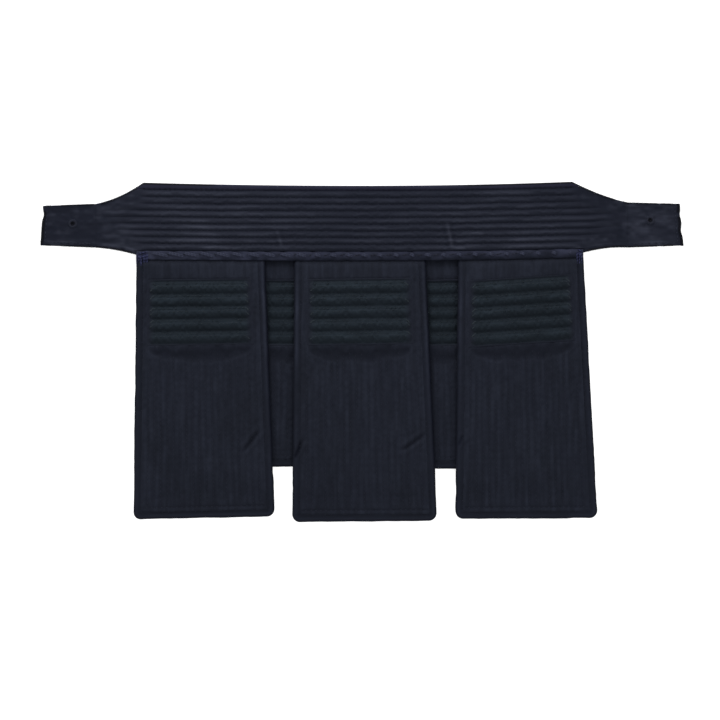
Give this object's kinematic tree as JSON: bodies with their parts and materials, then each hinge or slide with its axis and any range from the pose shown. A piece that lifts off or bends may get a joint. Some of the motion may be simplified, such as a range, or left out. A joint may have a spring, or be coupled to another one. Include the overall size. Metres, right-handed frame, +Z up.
{
  "type": "kendo waist protector",
  "caption": "Quilted cotton waist guard for kendo: ribbed belt with tapering wings and short strap ends, and overlapping padded flaps with ridged panels and rolled edges, laid face up.",
  "frame": {"origin": "on the floor that it lies on, at the middle of the box round the whole outline", "axes": "+X along the belt to the viewer's right, +Y from the flaps' hems towards the belt's upper edge, +Z up, out of the worn face"},
  "size_m": [0.6432, 0.3394, 0.0133],
  "materials": {
    "belt_cloth": "indigo cotton over sewn padded ribs",
    "binding_cloth": "indigo cotton strip, slightly purple and worn",
    "tape_cloth": "indigo cotton tape with thick lacing threads",
    "strap_cloth": "doubled plain indigo cotton",
    "flap_cloth": "closely quilted indigo cotton",
    "edging_cloth": "rolled indigo cotton edging",
    "panel_cloth": "padded dark teal ridges with sewn edges"
  },
  "bodies": {
    "root": {"waist_belt": "belt_cloth", "belt_top_binding": "binding_cloth", "joining_tape": "tape_cloth", "strap_left": "strap_cloth", "strap_right": "strap_cloth", "outer_flap_left": "flap_cloth", "outer_flap_centre": "flap_cloth", "outer_flap_right": "flap_cloth", "inner_flap_left": "flap_cloth", "inner_flap_right": "flap_cloth", "outer_edging_left": "edging_cloth", "outer_edging_centre": "edging_cloth", "outer_edging_right": "edging_cloth", "inner_edging_left": "edging_cloth", "inner_edging_right": "edging_cloth", "outer_panel_left": "panel_cloth", "outer_panel_centre": "panel_cloth", "outer_panel_right": "panel_cloth", "inner_panel_left": "panel_cloth", "inner_panel_right": "panel_cloth"}
  },
  "joints": []
}
